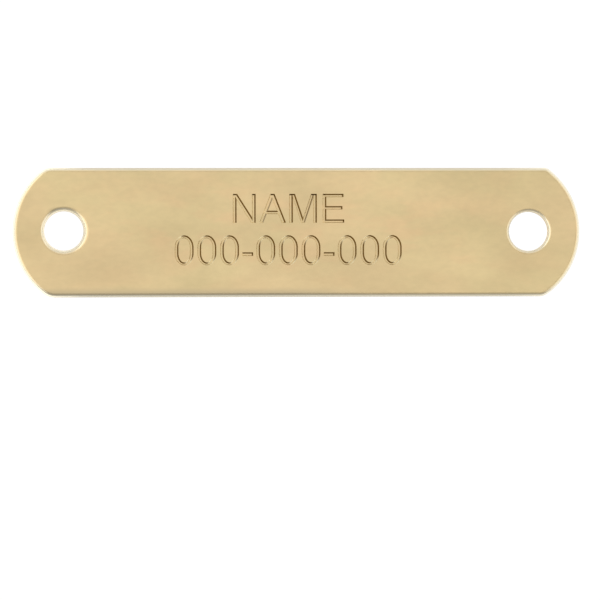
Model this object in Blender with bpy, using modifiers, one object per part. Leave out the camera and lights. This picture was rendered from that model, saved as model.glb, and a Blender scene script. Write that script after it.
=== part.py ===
"""Engraved name plate: one strip of sheet brass, blanked, pierced, edge-rolled and engraved.

Frame: +X along the plate, +Y up the lettering, +Z out of the engraved face.
The origin is the centre of the flat back.
"""
import math

import bmesh
import bpy

# Sheet and outline, in metres.
PLATE_LENGTH = 0.06985
PLATE_WIDTH = 0.015875
SHEET_THICKNESS = 0.00102
END_DEPTH = 0.00426
CORNER_RADIUS = 0.0012
FRONT_EDGE_ROUNDING = 0.00040
BACK_EDGE_ROUNDING = 0.00012

# Fixing holes, on the plate's long centre line.
HOLE_END_DISTANCE = 0.00635
HOLE_DIAMETER = 0.00476
HOLE_FRONT_ROUNDING = 0.00035
HOLE_BACK_ROUNDING = 0.00012

# Engraving: a flat-floored groove with sloping walls.
LINES = ("NAME", "000-000-000")
LETTER_SIZE = 0.0050
FIRST_BASELINE = 0.00116
LINE_PITCH = 0.00514
TEXT_CENTRE = -0.00115
GROOVE_DEPTH = 0.00020
GROOVE_WALL_RUN = 0.00012

# Letter proportions, as shares of the letter size.
CAP_HEIGHT = 0.716
STEM = 0.093
BAR = 0.084
NOTCH_FLAT = 0.020
SIDE_SPACE = {'N': 0.078, 'A': 0.0, 'M': 0.074, 'E': 0.066, '0': 0.045, '-': 0.032}

# How finely curves are divided.
END_ARC_STEPS = 28
CORNER_ARC_STEPS = 4
EDGE_ROUNDING_STEPS = 4
HOLE_STEPS = 48
ZERO_STEPS = 24

# How far a cutter stands clear of the face that it cuts.
CUTTER_CLEARANCE = 0.0005

# Points closer than this are one point.
WELD_DISTANCE = 0.0000001


# ---------------------------------------------------------------- scene and materials

def clear_scene():
    for startup_object in list(bpy.data.objects):
        bpy.data.objects.remove(startup_object, do_unlink=True)


def make_collection(name):
    collection = bpy.data.collections.new(name)
    bpy.context.scene.collection.children.link(collection)
    return collection


def brass_material():
    """Satin rolled brass, freshly tumbled."""
    material = bpy.data.materials.new("brass")
    material.use_nodes = True
    shader = material.node_tree.nodes["Principled BSDF"]
    shader.inputs["Base Color"].default_value = (0.72, 0.54, 0.28, 1.0)
    shader.inputs["Metallic"].default_value = 1.0
    shader.inputs["Roughness"].default_value = 0.38
    return material


# ---------------------------------------------------------------- shared geometry

def arc(centre, radius, start_angle, end_angle, steps):
    """Points along an arc, both ends included, counter-clockwise for a rising angle."""
    angles = [start_angle + (end_angle - start_angle) * step / steps for step in range(steps + 1)]
    return [(centre[0] + radius * math.cos(a), centre[1] + radius * math.sin(a)) for a in angles]


def filled_curve(name, loops, half_height, chamfer=0.0):
    """A flat filled curve. Its chamfer narrows it, at 45 degrees, above and below."""
    curve = bpy.data.curves.new(name, 'CURVE')
    curve.dimensions = '2D'
    curve.fill_mode = 'BOTH'
    curve.extrude = half_height
    curve.bevel_depth = chamfer
    curve.bevel_resolution = 0
    curve.offset = -chamfer
    for loop in loops:
        spline = curve.splines.new('POLY')
        spline.points.add(len(loop) - 1)
        for point, (x, y) in zip(spline.points, loop):
            point.co = (x, y, 0.0, 1.0)
        spline.use_cyclic_u = True
    return bpy.data.objects.new(name, curve)


def mesh_from_curve(curve_object, collection):
    """Replace a curve object by a mesh whose caps are welded and flat."""
    collection.objects.link(curve_object)
    bpy.context.view_layer.update()
    evaluated = curve_object.evaluated_get(bpy.context.evaluated_depsgraph_get())
    mesh = bpy.data.meshes.new_from_object(evaluated)
    name = curve_object.name
    placement = curve_object.matrix_world.copy()
    bpy.data.objects.remove(curve_object, do_unlink=True)

    shape = bmesh.new()
    shape.from_mesh(mesh)
    bmesh.ops.remove_doubles(shape, verts=shape.verts, dist=WELD_DISTANCE)
    bmesh.ops.dissolve_limit(shape, angle_limit=math.radians(0.5), verts=shape.verts, edges=shape.edges)
    bmesh.ops.recalc_face_normals(shape, faces=shape.faces)
    shape.to_mesh(mesh)
    shape.free()
    mesh_object = bpy.data.objects.new(name, mesh)
    mesh_object.matrix_world = placement
    collection.objects.link(mesh_object)
    return mesh_object


def cut_away(body, cutter):
    cutter.hide_render = True
    cutter.display_type = 'WIRE'
    boolean = body.modifiers.new("cut " + cutter.name, 'BOOLEAN')
    boolean.operation = 'DIFFERENCE'
    boolean.solver = 'EXACT'
    boolean.object = cutter


# ---------------------------------------------------------------- blank

def right_end_outline():
    """The +X end, from the lower long edge round to the upper one.

    One shallow arc crosses the whole width and bulges by END_DEPTH, so its radius is larger than
    half the width. A small corner arc blends it into each long edge.
    """
    half_width = PLATE_WIDTH / 2
    end_radius = (END_DEPTH ** 2 + half_width ** 2) / (2 * END_DEPTH)
    arc_centre = PLATE_LENGTH / 2 - end_radius
    corner_height = half_width - CORNER_RADIUS
    corner_reach = math.sqrt((end_radius - CORNER_RADIUS) ** 2 - corner_height ** 2)
    corner_x = arc_centre + corner_reach
    meeting_angle = math.atan2(corner_height, corner_reach)
    lower = arc((corner_x, -corner_height), CORNER_RADIUS, -math.pi / 2, -meeting_angle, CORNER_ARC_STEPS)
    end = arc((arc_centre, 0.0), end_radius, -meeting_angle, meeting_angle, END_ARC_STEPS)
    upper = arc((corner_x, corner_height), CORNER_RADIUS, meeting_angle, math.pi / 2, CORNER_ARC_STEPS)
    return lower + end[1:-1] + upper


def plate_outline():
    right_end = right_end_outline()
    left_end = [(-x, -y) for x, y in right_end]
    return right_end + left_end


def roll_edges(plate):
    """Round the front and back rims, each to its own size. Edges through the thickness stay sharp."""
    middle = SHEET_THICKNESS / 2
    weights = plate.data.attributes.new("bevel_weight_edge", 'FLOAT', 'EDGE')
    for edge in plate.data.edges:
        low, high = sorted(plate.data.vertices[index].co.z for index in edge.vertices)
        if low > middle:
            weights.data[edge.index].value = 1.0
        elif high < middle:
            weights.data[edge.index].value = BACK_EDGE_ROUNDING / FRONT_EDGE_ROUNDING
    bevel = plate.modifiers.new("rolled edges", 'BEVEL')
    bevel.limit_method = 'WEIGHT'
    bevel.width = FRONT_EDGE_ROUNDING
    bevel.segments = EDGE_ROUNDING_STEPS
    bevel.loop_slide = False


def make_blank(collection):
    half_thickness = SHEET_THICKNESS / 2
    plate = mesh_from_curve(filled_curve("name_plate", [plate_outline()], half_thickness), collection)
    for vertex in plate.data.vertices:
        vertex.co.z += half_thickness
    roll_edges(plate)
    return plate


# ---------------------------------------------------------------- fixing holes

def hole_profile():
    """Half of a hole's section, (radius, height), from above the face to below the back."""
    bore = HOLE_DIAMETER / 2
    front_centre = (bore + HOLE_FRONT_ROUNDING, SHEET_THICKNESS - HOLE_FRONT_ROUNDING)
    back_centre = (bore + HOLE_BACK_ROUNDING, HOLE_BACK_ROUNDING)
    front = arc(front_centre, HOLE_FRONT_ROUNDING, math.pi / 2, math.pi, EDGE_ROUNDING_STEPS)
    back = arc(back_centre, HOLE_BACK_ROUNDING, math.pi, 1.5 * math.pi, EDGE_ROUNDING_STEPS)
    top = SHEET_THICKNESS + CUTTER_CLEARANCE
    bottom = -CUTTER_CLEARANCE
    return [(0.0, top), (front[0][0], top)] + front + back + [(back[-1][0], bottom), (0.0, bottom)]


def pierce_hole(plate, name, x, collection):
    profile = hole_profile()
    mesh = bpy.data.meshes.new(name)
    edges = [(index, index + 1) for index in range(len(profile) - 1)]
    mesh.from_pydata([(radius, 0.0, height) for radius, height in profile], edges, [])
    punch = bpy.data.objects.new(name, mesh)
    punch.location.x = x
    turn = punch.modifiers.new("turn", 'SCREW')
    turn.steps = HOLE_STEPS
    turn.render_steps = HOLE_STEPS
    turn.use_merge_vertices = True
    turn.merge_threshold = WELD_DISTANCE
    collection.objects.link(punch)
    cut_away(plate, punch)


# ---------------------------------------------------------------- lettering

def outline_n():
    width = 0.564
    shoulder = 0.097
    notch_depth = 0.160
    right_stem = width - STEM
    upper_half = [(0, CAP_HEIGHT), (shoulder, CAP_HEIGHT), (right_stem - NOTCH_FLAT, notch_depth),
                  (right_stem, notch_depth), (right_stem, CAP_HEIGHT)]
    lower_half = [(width - x, CAP_HEIGHT - y) for x, y in upper_half]
    return [upper_half + lower_half], width


def outline_a():
    width = 0.669
    apex = 0.102
    foot = 0.105
    bar_low = 0.217
    bar_high = bar_low + BAR
    middle = width / 2
    lean = (middle - apex / 2) / CAP_HEIGHT
    inner_low = foot + lean * bar_low
    inner_high = foot + lean * bar_high
    counter_half_top = NOTCH_FLAT / 2
    counter_top = (middle - counter_half_top - foot) / lean
    outer = [(0, 0), (middle - apex / 2, CAP_HEIGHT), (middle + apex / 2, CAP_HEIGHT), (width, 0),
             (width - foot, 0), (width - inner_low, bar_low), (inner_low, bar_low), (foot, 0)]
    counter = [(inner_high, bar_high), (width - inner_high, bar_high),
               (middle + counter_half_top, counter_top), (middle - counter_half_top, counter_top)]
    return [outer, counter], width


def outline_m():
    width = 0.685
    shoulder = 0.142
    foot = 0.085
    middle = width / 2
    centre_notch = 0.118
    side_notch = 0.600
    left_half = [(middle - foot / 2, 0), (STEM + NOTCH_FLAT, side_notch), (STEM, side_notch), (STEM, 0),
                 (0, 0), (0, CAP_HEIGHT), (shoulder, CAP_HEIGHT)]
    right_half = [(width - x, y) for x, y in reversed(left_half)]
    return [left_half + [(middle, centre_notch)] + right_half], width


def outline_e():
    width = 0.534
    top_bar = 0.518
    middle_bar = 0.491
    middle_low = 0.328
    return [[(0, 0), (0, CAP_HEIGHT), (top_bar, CAP_HEIGHT), (top_bar, CAP_HEIGHT - BAR),
             (STEM, CAP_HEIGHT - BAR), (STEM, middle_low + BAR), (middle_bar, middle_low + BAR),
             (middle_bar, middle_low), (STEM, middle_low), (STEM, BAR), (width, BAR), (width, 0)]], width


def rounded_oval(centre, half_width, half_height):
    """An oval with fuller shoulders than an ellipse, whose fullness would be 2."""
    fullness = 2.35
    points = []
    for step in range(ZERO_STEPS):
        angle = math.tau * step / ZERO_STEPS
        cosine = math.cos(angle)
        sine = math.sin(angle)
        x = centre[0] + half_width * math.copysign(abs(cosine) ** (2 / fullness), cosine)
        y = centre[1] + half_height * math.copysign(abs(sine) ** (2 / fullness), sine)
        points.append((x, y))
    return points


def outline_zero():
    width = 0.467
    overshoot = 0.012
    crown = 0.074
    centre = (width / 2, CAP_HEIGHT / 2)
    half_height = CAP_HEIGHT / 2 + overshoot
    outer = rounded_oval(centre, width / 2, half_height)
    counter = rounded_oval(centre, width / 2 - STEM, half_height - crown)
    return [outer, counter], width


def outline_hyphen():
    width = 0.270
    low = 0.215
    return [[(0, low), (0, low + STEM), (width, low + STEM), (width, low)]], width


OUTLINES = {
    'N': outline_n,
    'A': outline_a,
    'M': outline_m,
    'E': outline_e,
    '0': outline_zero,
    '-': outline_hyphen,
}


def line_loops(text, baseline):
    """Closed loops, in metres, of one line of characters centred on the text's centre line."""
    placed = []
    cursor = 0.0
    for character in text:
        loops, width = OUTLINES[character]()
        cursor += SIDE_SPACE[character]
        placed += [(cursor, loop) for loop in loops]
        cursor += width + SIDE_SPACE[character]
    start = TEXT_CENTRE - cursor * LETTER_SIZE / 2
    return [[(start + (offset + x) * LETTER_SIZE, baseline + y * LETTER_SIZE) for x, y in loop]
            for offset, loop in placed]


def engrave(plate, name, text, baseline, collection):
    """Cut one line: the cutter is as wide as the strokes at the face and narrower at the floor."""
    half_height = CUTTER_CLEARANCE / 2
    outline = filled_curve(name, line_loops(text, baseline), half_height, GROOVE_WALL_RUN)
    cutter = mesh_from_curve(outline, collection)
    steepness = GROOVE_DEPTH / GROOVE_WALL_RUN
    for vertex in cutter.data.vertices:
        past_wall = abs(vertex.co.z) - half_height
        if past_wall > WELD_DISTANCE:
            vertex.co.z = math.copysign(half_height + past_wall * steepness, vertex.co.z)
        vertex.co.z += SHEET_THICKNESS + half_height
    cut_away(plate, cutter)


# ---------------------------------------------------------------- assembly

def build():
    clear_scene()
    parts = make_collection("name_plate")
    cutters = make_collection("cutters")
    plate = make_blank(parts)
    plate.data.materials.append(brass_material())
    hole_x = PLATE_LENGTH / 2 - HOLE_END_DISTANCE
    pierce_hole(plate, "left_hole_punch", -hole_x, cutters)
    pierce_hole(plate, "right_hole_punch", hole_x, cutters)
    for row, text in enumerate(LINES):
        engrave(plate, "engraving_line_%d" % (row + 1), text, FIRST_BASELINE - row * LINE_PITCH, cutters)


build()
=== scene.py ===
import math

import bmesh
import bpy
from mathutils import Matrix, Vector


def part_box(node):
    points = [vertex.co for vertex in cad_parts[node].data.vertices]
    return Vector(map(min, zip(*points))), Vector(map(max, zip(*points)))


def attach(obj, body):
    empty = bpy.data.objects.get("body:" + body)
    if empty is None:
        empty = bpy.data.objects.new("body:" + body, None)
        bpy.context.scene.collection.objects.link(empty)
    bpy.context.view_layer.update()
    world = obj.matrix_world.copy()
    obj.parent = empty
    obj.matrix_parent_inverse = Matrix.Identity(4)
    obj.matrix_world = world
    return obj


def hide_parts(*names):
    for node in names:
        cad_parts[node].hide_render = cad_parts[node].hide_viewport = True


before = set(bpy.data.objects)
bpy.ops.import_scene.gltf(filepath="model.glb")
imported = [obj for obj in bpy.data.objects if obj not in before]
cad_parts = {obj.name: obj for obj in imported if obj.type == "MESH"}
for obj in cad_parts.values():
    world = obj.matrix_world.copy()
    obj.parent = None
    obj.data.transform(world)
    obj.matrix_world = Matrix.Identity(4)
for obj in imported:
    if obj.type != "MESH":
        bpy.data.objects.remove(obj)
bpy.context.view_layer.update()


# ---------------------------------------------------------------- The blank
# A strip of 18 gauge brass sheet, sheared to width and cropped by a hollow-nosed punch, so each end
# is one wide arc between two small corners. It lay a little low under the punch, so the arcs sit a
# hair above its centre line. Tumbling has rounded the front rim well and the back one a little.

plate_low, plate_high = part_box("name_plate")
plate_length = plate_high.x - plate_low.x
plate_width = plate_high.y - plate_low.y
sheet_thickness = plate_high.z - plate_low.z

end_depth = 0.00426
end_rise = 0.00014
left_corner_radii = (0.0023, 0.0023)
right_corner_radii = (0.0019, 0.0011)
corner_cuts = 10
end_cuts = 96
front_rounding = 0.00062
front_rounding_cuts = 10
back_rounding = 0.00010
back_rounding_cuts = 3
straight_enough = math.radians(0.5)
same_height = 1e-7

half_length = plate_length / 2
half_width = plate_width / 2
end_radius = (end_depth ** 2 + half_width ** 2) / (2 * end_depth)
end_centre = half_length - end_radius


def pick(kind, wanted):
    """In edit mode, select only the points, edges or faces that are wanted."""
    bpy.ops.mesh.select_mode(type=kind)
    bpy.ops.mesh.select_all(action='DESELECT')
    shape = bmesh.from_edit_mesh(bpy.context.edit_object.data)
    parts = {'VERT': shape.verts, 'EDGE': shape.edges, 'FACE': shape.faces}[kind]
    for part in parts:
        part.select_set(bool(wanted(part)))
    shape.select_flush_mode()
    bmesh.update_edit_mesh(bpy.context.edit_object.data)


def rim_at(height):
    """A test for pick: whether both ends of an edge lie at that height."""
    return lambda edge: all(abs(point.co.z - height) < same_height for point in edge.verts)


def crop_end(lower_radius, upper_radius):
    """Turn one point through a corner, the wide end arc and the other corner, at the +X end."""
    drop = half_width - lower_radius + end_rise
    climb = half_width - upper_radius - end_rise
    lower_reach = math.sqrt((end_radius - lower_radius) ** 2 - drop ** 2)
    upper_reach = math.sqrt((end_radius - upper_radius) ** 2 - climb ** 2)
    lower_angle = math.atan2(drop, lower_reach)
    upper_angle = math.atan2(climb, upper_reach)
    turns = (
        (corner_cuts, math.pi / 2 - lower_angle, (end_centre + lower_reach, end_rise - drop, 0)),
        (end_cuts, lower_angle + upper_angle, (end_centre, end_rise, 0)),
        (corner_cuts, math.pi / 2 - upper_angle, (end_centre + upper_reach, end_rise + climb, 0)),
    )
    bpy.ops.mesh.select_all(action='DESELECT')
    bpy.ops.mesh.primitive_plane_add(size=lower_radius, location=(0, 0, 0))
    bpy.ops.mesh.merge(type='CENTER')
    bpy.ops.transform.translate(value=(end_centre + lower_reach, -half_width, 0))
    for steps, angle, centre in turns:
        bpy.ops.mesh.spin(steps=steps, angle=-angle, center=centre, axis=(0, 0, 1))


# The outline is swept from one point at each end, so the plate's own mesh starts out empty.
bpy.ops.object.select_all(action='DESELECT')
bpy.ops.mesh.primitive_plane_add(size=plate_width)
plate = bpy.context.object
plate.name = "brass_plate"
bpy.ops.object.mode_set(mode='EDIT')
bpy.ops.mesh.delete(type='VERT')
crop_end(*left_corner_radii)
bpy.ops.mesh.select_all(action='SELECT')
bpy.ops.transform.resize(value=(-1, 1, 1), center_override=(0, 0, 0))
crop_end(*right_corner_radii)

# The long edges between the two ends are sheared, and the blank is as thick as the sheet.
bpy.ops.mesh.select_all(action='SELECT')
bpy.ops.mesh.bridge_edge_loops()
bpy.ops.mesh.select_all(action='SELECT')
bpy.ops.mesh.dissolve_limited(angle_limit=straight_enough, use_dissolve_boundaries=False)
bpy.ops.mesh.select_all(action='SELECT')
bpy.ops.mesh.extrude_region_move(TRANSFORM_OT_translate={"value": (0, 0, sheet_thickness)})
bpy.ops.mesh.select_all(action='SELECT')
bpy.ops.mesh.normals_make_consistent(inside=False)
pick('EDGE', rim_at(sheet_thickness))
bpy.ops.mesh.bevel(offset=front_rounding, segments=front_rounding_cuts, profile=0.5, affect='EDGES')
pick('EDGE', rim_at(0.0))
bpy.ops.mesh.bevel(offset=back_rounding, segments=back_rounding_cuts, profile=0.5, affect='EDGES')
bpy.ops.object.mode_set(mode='OBJECT')


# ---------------------------------------------------------------- The satin finish
# Yellow brass, tumbled to a satin and then handled: soft clouds of straw and tan, pinker about the
# middle, darker along the left half of the foot and in a patch by the left hole. Its rims are rubbed
# pale and painted paler still as a highlight, rolling has left a faint grain along it and shearing
# fine upright lines on its edges.

straw = (0.838, 0.666, 0.358)
tan = (0.864, 0.664, 0.364)
# A darker tone along the left half of the foot, and a dark patch by the left hole.
blush = (0.884, 0.650, 0.356)
foot_darkening = (0.62, 0.50, 0.30)
dark_patch = (0.38, 0.34, 0.20)
# Pale rims: rubbed pale, and painted paler still as a highlight.
rubbed_rim_and_highlight = (0.97, 0.90, 0.71)
sheared_bright = (0.87, 0.69, 0.39)
sheared_dull = (0.72, 0.56, 0.31)

# Most noise lies in the span. The shares are how much of the colour is left in the darkest and the
# lightest parts of a cloud and of the mottle, and how much of the blush at the middle and the ends.
noise_span = (0.3, 0.7)
cloud_shares = (0.88, 1.0)
mottle_shares = (0.955, 1.0)
blush_shares = (1.0, 0.35)

# Where the blush and each mark begin and end. A stretch is how space is scaled, each way, before
# the distance from a centre is taken.
handled_stretch = (1.0, 4.0, 0)
handled_reach = (0.012, 0.032)
foot_band = (-0.0066, -0.0076)
foot_reach = (0.012, -0.002)
dark_patch_centre = (-0.0296, 0.00262, 0)
dark_patch_stretch = (0.5, 1.0, 0.2)
dark_patch_reach = (0.0001, 0.0007)
dark_patch_strength = 0.6

# How squarely a surface faces up or down: 1 on the flat of the plate and 0 on a sheared edge.
flat_ends = 0.99
rim_polished = 0.85
rim_fully_pale = 0.70
rim_ends = 0.45
sheared_begins = 0.15

satin_roughness = (0.33, 0.37)
cloud_roughness = (0.03, -0.02)
rim_burnish = 0.85
relief_strength = 0.25
relief_height = 0.000004


class Finish:
    """One brass finish under construction: its material, and helpers that add to its nodes."""

    def __init__(self, name):
        self.material = bpy.data.materials.new(name)
        self.material.use_nodes = True
        self.tree = self.material.node_tree
        self.metal = self.tree.nodes["Principled BSDF"]
        self.metal.inputs["Metallic"].default_value = 1.0
        self.place = self.add('ShaderNodeTexCoord')

    def add(self, kind, **settings):
        node = self.tree.nodes.new(kind)
        for name, value in settings.items():
            setattr(node, name, value)
        return node

    def feed(self, value, socket):
        """Link a socket's value, or set a plain one."""
        if isinstance(value, bpy.types.NodeSocket):
            self.tree.links.new(value, socket)
        else:
            socket.default_value = value

    def math(self, operation, first, second):
        node = self.add('ShaderNodeMath', operation=operation)
        self.feed(first, node.inputs[0])
        self.feed(second, node.inputs[1])
        return node.outputs["Value"]

    def vector(self, operation, first, second):
        node = self.add('ShaderNodeVectorMath', operation=operation)
        self.feed(first, node.inputs[0])
        self.feed(second, node.inputs[1])
        return node.outputs["Value" if operation in ('DOT_PRODUCT', 'LENGTH') else "Vector"]

    def distance(self, centre, stretch):
        """How far a point of the plate is from a centre, once space is stretched."""
        away = self.vector('SUBTRACT', self.place.outputs["Object"], centre)
        return self.vector('LENGTH', self.vector('MULTIPLY', away, stretch), (0, 0, 0))

    def ease(self, value, low, high, start=0.0, end=1.0):
        """Carry a value from one range to another, easing in and out."""
        node = self.add('ShaderNodeMapRange', interpolation_type='SMOOTHSTEP')
        for name, setting in (("Value", value), ("From Min", low), ("From Max", high),
                              ("To Min", start), ("To Max", end)):
            self.feed(setting, node.inputs[name])
        return node.outputs["Result"]

    def noise(self, scale, detail=2.0, offset=(0, 0, 0)):
        """Noise on the plate's own coordinates: scale is how many features a metre, each way."""
        mapping = self.add('ShaderNodeMapping')
        mapping.inputs["Location"].default_value = offset
        mapping.inputs["Scale"].default_value = scale
        self.feed(self.place.outputs["Object"], mapping.inputs["Vector"])
        texture = self.add('ShaderNodeTexNoise')
        texture.inputs["Scale"].default_value = 1.0
        texture.inputs["Detail"].default_value = detail
        self.feed(mapping.outputs["Vector"], texture.inputs["Vector"])
        return texture.outputs["Fac"]

    def mix(self, amount, first, second):
        """Mix two colours, as vectors."""
        node = self.add('ShaderNodeMix', data_type='VECTOR')
        sockets = {socket.identifier: socket for socket in node.inputs}
        self.feed(amount, sockets["Factor_Float"])
        self.feed(first, sockets["A_Vector"])
        self.feed(second, sockets["B_Vector"])
        return next(socket for socket in node.outputs if socket.identifier == "Result_Vector")

    def shade(self, colour, amount):
        """Darken a colour by a share."""
        node = self.add('ShaderNodeVectorMath', operation='SCALE')
        self.feed(colour, node.inputs[0])
        self.feed(amount, node.inputs["Scale"])
        return node.outputs["Vector"]


def clouded(finish, clouds, mottle):
    """The face's own colour: straw drifting into tan, pinker where it is handled, then clouded."""
    hue_drift = finish.noise((60, 110, 60), offset=(3.1, 0.4, 0))
    flush = finish.noise((170, 420, 170), detail=6.0, offset=(1.3, 4.1, 0))
    from_middle = finish.distance((0, 0, 0), handled_stretch)
    handled = finish.ease(from_middle, *handled_reach, *blush_shares)
    flush = finish.math('MULTIPLY', handled, finish.ease(flush, 0.44, 0.66))
    colour = finish.mix(finish.ease(hue_drift, 0.38, 0.62), straw, tan)
    colour = finish.mix(flush, colour, blush)
    colour = finish.shade(colour, finish.ease(clouds, *noise_span, *cloud_shares))
    return finish.shade(colour, finish.ease(mottle, *noise_span, *mottle_shares))


def marked(finish, colour):
    """The same, darker along the left half of the foot and in a patch by the left hole."""
    axes = finish.add('ShaderNodeSeparateXYZ')
    finish.feed(finish.place.outputs["Object"], axes.inputs["Vector"])
    near_foot = finish.ease(axes.outputs["Y"], *foot_band)
    towards_left = finish.ease(axes.outputs["X"], *foot_reach)
    colour = finish.mix(finish.math('MULTIPLY', near_foot, towards_left), colour, foot_darkening)
    from_dark_patch = finish.distance(dark_patch_centre, dark_patch_stretch)
    return finish.mix(finish.ease(from_dark_patch, *dark_patch_reach, dark_patch_strength, 0.0), colour, dark_patch)


def edged(finish, colour, upright):
    """The same with pale rims, partly wear and partly painted highlight, and sheared edges beyond them.
    """
    shear_lines = finish.noise((3200, 3200, 120), detail=3.0)
    sheared_wall = finish.mix(finish.ease(shear_lines, 0.62, 0.38), sheared_bright, sheared_dull)
    # The rims turn pale: part wear, part painted highlight.
    colour = finish.mix(finish.ease(upright, flat_ends, rim_fully_pale), colour, rubbed_rim_and_highlight)
    return finish.mix(finish.ease(upright, rim_ends, sheared_begins), colour, sheared_wall)


def satin_brass(name):
    """The brass of the whole plate. Its colour is kept at hand, for a finish that adds to it."""
    finish = Finish(name)
    clouds = finish.noise((75, 170, 75), detail=5.0, offset=(0.7, 2.2, 0))
    mottle = finish.noise((900, 1500, 900), detail=4.0)
    grain = finish.noise((160, 5200, 400))
    upright = finish.vector('DOT_PRODUCT', finish.place.outputs["Normal"], (0, 0, 1))
    upright = finish.math('ABSOLUTE', upright, 0.0)

    finish.colour = edged(finish, marked(finish, clouded(finish, clouds, mottle)), upright)
    finish.feed(finish.colour, finish.metal.inputs["Base Color"])

    cloud_dullness = finish.ease(clouds, *noise_span, *cloud_roughness)
    mottle_dullness = finish.ease(mottle, *noise_span, *satin_roughness)
    roughness = finish.math('ADD', cloud_dullness, mottle_dullness)
    past_flat = finish.ease(upright, flat_ends, rim_polished)
    short_of_wall = finish.ease(upright, sheared_begins, rim_ends)
    on_rim = finish.math('MULTIPLY', past_flat, short_of_wall)
    burnish = finish.ease(on_rim, 0.0, 1.0, 1.0, rim_burnish)
    finish.feed(finish.math('MULTIPLY', roughness, burnish), finish.metal.inputs["Roughness"])

    relief = finish.add('ShaderNodeBump')
    relief.inputs["Strength"].default_value = relief_strength
    relief.inputs["Distance"].default_value = relief_height
    finish.feed(finish.math('ADD', grain, mottle), relief.inputs["Height"])
    finish.feed(relief.outputs["Normal"], finish.metal.inputs["Normal"])
    return finish


satin = satin_brass("satin_brass")
plate.data.materials.append(satin.material)


# ---------------------------------------------------------------- The engraving
# Placeholder characters in two lines. Each stroke is pocketed with a small square-ended cutter, so
# it has a flat floor and steep walls, and the tumbling afterwards has eased its edges.

letter_size = 0.0050
first_baseline = 0.00116
line_pitch = 0.00514
text_centre = -0.00115

# Letter shapes, as shares of the letter size. A straight stroke is its left edge, foot, head and
# width, and how far it leans. An oval is its width and height, and its stroke at flank and crown.
cap = 0.716
stem = 0.094
bar = 0.086
strokes = {
    'N': ((0, 0, cap, stem, 0), (0.564 - stem, 0, cap, stem, 0), (0.455, 0, cap, 0.109, -0.455)),
    'A': ((0, 0, cap, 0.108, 0.282), (0.561, 0, cap, 0.108, -0.282), (0.120, 0.217, 0.303, 0.430, 0)),
    'M': ((0, 0, cap, stem, 0), (0.685 - stem, 0, cap, stem, 0),
          (0.297, 0, cap, 0.089, -0.239), (0.299, 0, cap, 0.089, 0.239)),
    'E': ((0, 0, cap, stem, 0), (stem / 2, cap - bar, cap, 0.518 - stem / 2, 0),
          (stem / 2, 0.328, 0.328 + bar, 0.491 - stem / 2, 0), (stem / 2, 0, bar, 0.534 - stem / 2, 0)),
    '-': ((0, 0.215, 0.215 + stem, 0.270, 0),),
    '0': (),
}
ovals = {'0': (0.467, 0.740, stem, 0.076)}
letter_width = {'N': 0.564, 'A': 0.669, 'M': 0.685, 'E': 0.534, '-': 0.270, '0': 0.467}
side_space = {'N': 0.078, 'A': 0.0, 'M': 0.074, 'E': 0.066, '-': 0.032, '0': 0.045}
# An oval's flanks run straight for this far above and below its middle.
oval_flank = 0.066
oval_sides = 72
on_middle = 1e-8

# Down the cutter's side, each step's run and drop: a taper clear of the face, then the eased edge,
# the wall and the floor's corner. The cutter leans to the left and the foot as it goes down.
cutter_rise = 0.0005
cutter_start = 0.00001
side_steps = ((0.000012, 0.000008), (0.000020, 0.000022), (0.000085, 0.000145), (0.000020, 0.000025))
cutter_lean = Vector((-0.00004, -0.00004, 0))
pointing_down = -0.9

# The walls that face the left and the foot of the plate are painted dark, as painted shade.
# The walls that face the other way are painted pale, as a painted highlight.
groove_painted_shade = (0.18, 0.10, 0.022)
groove_painted_highlight = (1.00, 0.92, 0.72)
shaded_side = (-0.75, -0.66, 0)
groove = satin_brass("cut_brass")
facing_shaded_side = groove.vector('DOT_PRODUCT', groove.place.outputs["Normal"], shaded_side)
# Painted highlight on the walls that face away from the shaded side.
groove_colour = groove.mix(groove.ease(facing_shaded_side, 0.0, -0.5), groove.colour, groove_painted_highlight)
# Painted shade on the walls that face the left and the foot.
groove_colour = groove.mix(groove.ease(facing_shaded_side, 0.1, 0.5), groove_colour, groove_painted_shade)
groove.feed(groove_colour, groove.metal.inputs["Base Color"])


def selected_points():
    return [point for point in bmesh.from_edit_mesh(bpy.context.edit_object.data).verts if point.select]


def add_stroke(corner, left, foot, head, width, lean):
    """A straight stroke: a rectangle whose head is pushed over as far as it leans."""
    centre = corner + Vector((left + width / 2, (foot + head) / 2, 0)) * letter_size
    size = Vector((width, head - foot, 1)) * letter_size
    bpy.ops.mesh.primitive_plane_add(size=1, location=centre)
    bpy.ops.transform.resize(value=size, center_override=centre)
    for point in selected_points():
        if point.co.y > centre.y:
            point.co.x += lean * letter_size


def add_oval(corner, width, height, flank_stroke, crown_stroke):
    """A ring between two loops, each a stretched circle with straight flanks."""
    centre = corner + Vector((width / 2, cap / 2, 0)) * letter_size
    whole_letter = height * letter_size
    for across, up in ((width / 2, height / 2), (width / 2 - flank_stroke, height / 2 - crown_stroke)):
        bpy.ops.mesh.primitive_circle_add(vertices=oval_sides, radius=letter_size, location=centre)
        bpy.ops.transform.resize(value=(across, up - oval_flank, 1), center_override=centre)
        for point in selected_points():
            rise = point.co.y - centre.y
            if abs(rise) > on_middle:
                point.co.y += math.copysign(oval_flank * letter_size, rise)
    pick('VERT', lambda point: (point.co - centre).length < whole_letter and not point.link_faces)
    bpy.ops.mesh.bridge_edge_loops()


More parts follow.
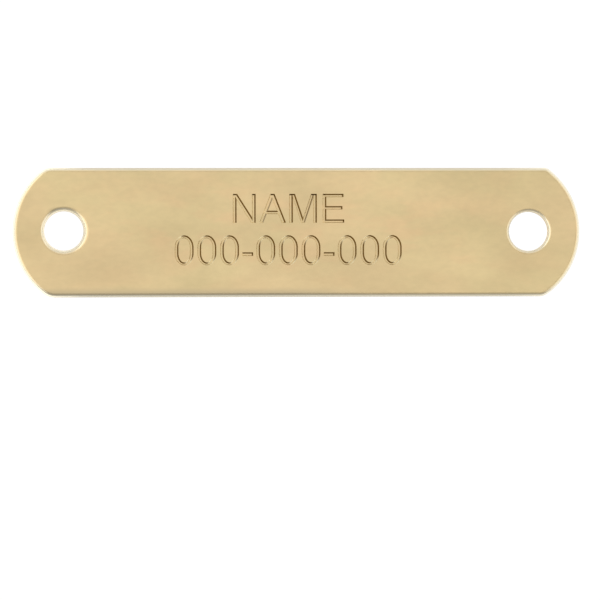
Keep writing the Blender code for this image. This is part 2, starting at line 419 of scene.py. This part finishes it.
def line_cutter(text, baseline):
    """Lay a line's strokes out flat just above the face, then draw them down into a tapered cutter."""
    bpy.ops.object.select_all(action='DESELECT')
    bpy.ops.mesh.primitive_plane_add(size=letter_size)
    cutter = bpy.context.object
    cutter.data.materials.append(groove.material)
    bpy.ops.object.mode_set(mode='EDIT')
    bpy.ops.mesh.delete(type='VERT')
    length = sum(letter_width[letter] + 2 * side_space[letter] for letter in text) * letter_size
    corner = Vector((text_centre - length / 2, baseline, sheet_thickness + cutter_start))
    for letter in text:
        corner.x += side_space[letter] * letter_size
        for shape in strokes[letter]:
            add_stroke(corner, *shape)
        if letter in ovals:
            add_oval(corner, *ovals[letter])
        corner.x += (letter_width[letter] + side_space[letter]) * letter_size
    bpy.ops.mesh.select_all(action='SELECT')
    bpy.ops.mesh.extrude_region_move(TRANSFORM_OT_translate={"value": (0, 0, cutter_rise)})
    bpy.ops.mesh.select_all(action='SELECT')
    bpy.ops.mesh.normals_make_consistent(inside=False)
    pick('FACE', lambda face: face.normal.z < pointing_down)
    whole_drop = sum(drop for run, drop in side_steps)
    for run, drop in side_steps:
        bpy.ops.mesh.inset(thickness=run, depth=drop, use_boundary=True, use_even_offset=True)
        bpy.ops.transform.translate(value=cutter_lean * drop / whole_drop)
    bpy.ops.object.mode_set(mode='OBJECT')
    return cutter


def cut_with(cutter, crosses_itself):
    """Take a cutter's shape out of the plate, then throw the cutter away."""
    bpy.ops.object.select_all(action='DESELECT')
    plate.select_set(True)
    bpy.context.view_layer.objects.active = plate
    cut = plate.modifiers.new("cut", 'BOOLEAN')
    cut.operation = 'DIFFERENCE'
    cut.solver = 'EXACT'
    cut.use_self = crosses_itself
    cut.material_mode = 'TRANSFER'
    cut.object = cutter
    bpy.ops.object.modifier_apply(modifier=cut.name)
    bpy.data.objects.remove(cutter, do_unlink=True)


cut_with(line_cutter("NAME", first_baseline), crosses_itself=True)
cut_with(line_cutter("000-000-000", first_baseline - line_pitch), crosses_itself=False)


# ---------------------------------------------------------------- The fixing holes
# Two 3/16 in holes, pierced a quarter inch from each end and a hair above the centre line, then
# deburred by hand with a rounding tool. It bit deeper into the left hole, and ran to the right there.

left_hole = Vector((-0.02870, 0.00021, 0))
left_rounding = 0.00072
left_drift = Vector((0.00009, 0.00002, 0))
right_hole = Vector((0.02857, 0.00009, 0))
right_rounding = 0.00052
no_drift = Vector((0, 0, 0))
hole_radius = 0.00241
hole_back_rounding = 0.00010
hole_sides = 160
flare_cuts = 10
punch_clearance = 0.0005
# Each round ends a hair proud of its face, so that the punch crosses the face cleanly.
round_inside = 0.994


def pierce(hole, rounding, drift):
    """Punch one hole. The punch flares out towards the face, more to the side that it drifts to."""
    shank_top = sheet_thickness - rounding * round_inside
    shank_bottom = hole_back_rounding * round_inside
    middle = hole + Vector((0, 0, (shank_top + shank_bottom) / 2))
    bpy.ops.object.select_all(action='DESELECT')
    bpy.ops.mesh.primitive_cylinder_add(
        vertices=hole_sides, radius=hole_radius, depth=shank_top - shank_bottom, location=middle)
    punch = bpy.context.object
    punch.data.materials.append(satin.material)
    bpy.ops.object.transform_apply(location=True, rotation=True, scale=True)
    bpy.ops.object.mode_set(mode='EDIT')
    flare(hole + Vector((0, 0, shank_top)), rounding, drift, 1)
    flare(hole + Vector((0, 0, shank_bottom)), hole_back_rounding, no_drift, -1)
    bpy.ops.object.mode_set(mode='OBJECT')
    cut_with(punch, crosses_itself=False)


def flare(centre, rounding, drift, direction):
    """Extrude the punch's end face along a quarter round, then straight on, clear of the sheet."""
    pick('FACE', lambda face: abs(face.calc_center_median().z - centre.z) < same_height)
    radius = hole_radius
    quarter = math.pi / 2
    for cut in range(flare_cuts):
        start = quarter * cut / flare_cuts
        end = quarter * (cut + 1) / flare_cuts
        spread = math.cos(start) - math.cos(end)
        rise = rounding * (math.sin(end) - math.sin(start))
        step = drift * spread + Vector((0, 0, rise * direction))
        bpy.ops.mesh.extrude_region_move(TRANSFORM_OT_translate={"value": step})
        centre = centre + step
        widened = radius + rounding * spread
        bpy.ops.transform.resize(value=(widened / radius, widened / radius, 1), center_override=centre)
        radius = widened
    clear = (0, 0, punch_clearance * direction)
    bpy.ops.mesh.extrude_region_move(TRANSFORM_OT_translate={"value": clear})


pierce(left_hole, left_rounding, left_drift)
pierce(right_hole, right_rounding, no_drift)


# ---------------------------------------------------------------- The finished plate
# One piece of brass that nothing is fixed to, so it rides on the only body. Its rounds shade
# smoothly into its flats, and its cut edges stay crisp.

crisp_angle = math.radians(30)

bpy.ops.object.select_all(action='DESELECT')
plate.select_set(True)
bpy.context.view_layer.objects.active = plate
bpy.ops.object.shade_smooth_by_angle(angle=crisp_angle)
even = plate.modifiers.new("even", 'WEIGHTED_NORMAL')
even.keep_sharp = True
bpy.ops.object.modifier_apply(modifier=even.name)

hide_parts("name_plate")
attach(plate, "root")


# ---------------------------------------------------------------- The table
# White board that the plate lies on, in a white room. The board glows a little under and beyond each
# end, in reflections only, as a bounce card does, which lightens the rims and the walls of the holes.

table_size = 60
table_gap = 0.00002
board_white = (0.8, 0.8, 0.8, 1)
board_roughness = 0.9
white_light = (1, 1, 1, 1)
bounce_begins = 0.026
bounce_full = 0.032
left_bounce = 0.6
right_bounce = 0.3
ground_white = 1.05
room_light = 0.43

bpy.ops.object.select_all(action='DESELECT')
bpy.ops.mesh.primitive_plane_add(size=table_size, location=(0, 0, -table_gap))
table = bpy.context.object
table.name = "table"
board = bpy.data.materials.new("white_board")
board.use_nodes = True
board_nodes = board.node_tree.nodes
board_links = board.node_tree.links
paper = board_nodes["Principled BSDF"]
paper.inputs["Base Color"].default_value = board_white
paper.inputs["Roughness"].default_value = board_roughness
paper.inputs["Emission Color"].default_value = white_light
board_place = board_nodes.new('ShaderNodeTexCoord')
board_axes = board_nodes.new('ShaderNodeSeparateXYZ')
board_links.new(board_place.outputs["Object"], board_axes.inputs["Vector"])
both_bounces = board_nodes.new('ShaderNodeMath')
both_bounces.operation = 'ADD'
board_links.new(both_bounces.outputs["Value"], paper.inputs["Emission Strength"])
for side, strength, socket in ((-1, left_bounce, both_bounces.inputs[0]),
                               (1, right_bounce, both_bounces.inputs[1])):
    ramp = board_nodes.new('ShaderNodeMapRange')
    ramp.inputs["From Min"].default_value = side * bounce_begins
    ramp.inputs["From Max"].default_value = side * bounce_full
    ramp.inputs["To Max"].default_value = strength
    board_links.new(board_axes.outputs["X"], ramp.inputs["Value"])
    board_links.new(ramp.outputs["Result"], socket)

# Looked at directly, the board and the room are both plain white.
glow = board_nodes.new('ShaderNodeEmission')
glow.inputs["Strength"].default_value = ground_white
seen_directly = board_nodes.new('ShaderNodeLightPath')
paper_or_glow = board_nodes.new('ShaderNodeMixShader')
board_links.new(seen_directly.outputs["Is Camera Ray"], paper_or_glow.inputs["Fac"])
board_links.new(paper.outputs["BSDF"], paper_or_glow.inputs[1])
board_links.new(glow.outputs["Emission"], paper_or_glow.inputs[2])
board_links.new(paper_or_glow.outputs["Shader"], board_nodes["Material Output"].inputs["Surface"])
table.data.materials.append(board)

room = bpy.data.worlds.new("studio")
bpy.context.scene.world = room
room.use_nodes = True
room_nodes = room.node_tree.nodes
backdrop = room_nodes["Background"]
camera_ray = room_nodes.new('ShaderNodeLightPath')
level = room_nodes.new('ShaderNodeMapRange')
level.inputs["To Min"].default_value = room_light
level.inputs["To Max"].default_value = ground_white
room.node_tree.links.new(camera_ray.outputs["Is Camera Ray"], level.inputs["Value"])
room.node_tree.links.new(level.outputs["Result"], backdrop.inputs["Strength"])
backdrop.inputs["Color"].default_value = white_light


# ---------------------------------------------------------------- The lights
# One large softbox overhead, a bright panel on the left that catches the left end's rim, and weaker
# panels beyond the top edge and on the right. There is none below, so the foot's rim stays dark.

light_distance = 1.0


def softbox(name, heading, elevation, width, height, radiance):
    """An area light aimed at the plate. Heading is in degrees from +X, counter-clockwise."""
    turn = math.radians(heading)
    lift = math.radians(elevation)
    towards = Vector((math.cos(turn) * math.cos(lift), math.sin(turn) * math.cos(lift), math.sin(lift)))
    lamp = bpy.data.lights.new(name, 'AREA')
    lamp.shape = 'RECTANGLE'
    lamp.size = width
    lamp.size_y = height
    lamp.energy = radiance * math.pi * width * height
    holder = bpy.data.objects.new(name, lamp)
    holder.location = towards * light_distance
    holder.rotation_euler = towards.to_track_quat('Z', 'Y').to_euler()
    holder.visible_camera = False
    bpy.context.collection.objects.link(holder)


softbox("overhead_softbox", heading=90, elevation=90, width=1.1, height=1.1, radiance=0.485)
softbox("left_panel", heading=179, elevation=36, width=1.8, height=0.85, radiance=0.97)
softbox("far_panel", heading=90, elevation=30, width=1.8, height=0.8, radiance=0.50)
softbox("right_panel", heading=0, elevation=30, width=1.8, height=0.8, radiance=0.75)


# ---------------------------------------------------------------- The camera
# A long lens above the plate and a little to the left, aimed below its middle, so that the plate
# lies above the middle of the view.

camera_distance = 0.40
camera_yaw = math.radians(3.5)
camera_roll = math.radians(-0.15)
view_width = 0.07375
film_width = 36
aim = Vector((0.00025, -0.00826, sheet_thickness))

lens = bpy.data.cameras.new("camera")
lens.sensor_width = film_width
lens.lens = film_width * camera_distance / view_width
lens.clip_start = 0.01
lens.clip_end = 100
camera = bpy.data.objects.new("camera", lens)
camera.location = aim + camera_distance * Vector((-math.sin(camera_yaw), 0, math.cos(camera_yaw)))
camera.rotation_euler = (0, -camera_yaw, camera_roll)
bpy.context.collection.objects.link(camera)
bpy.context.scene.camera = camera
bpy.context.scene.view_settings.view_transform = 'Standard'
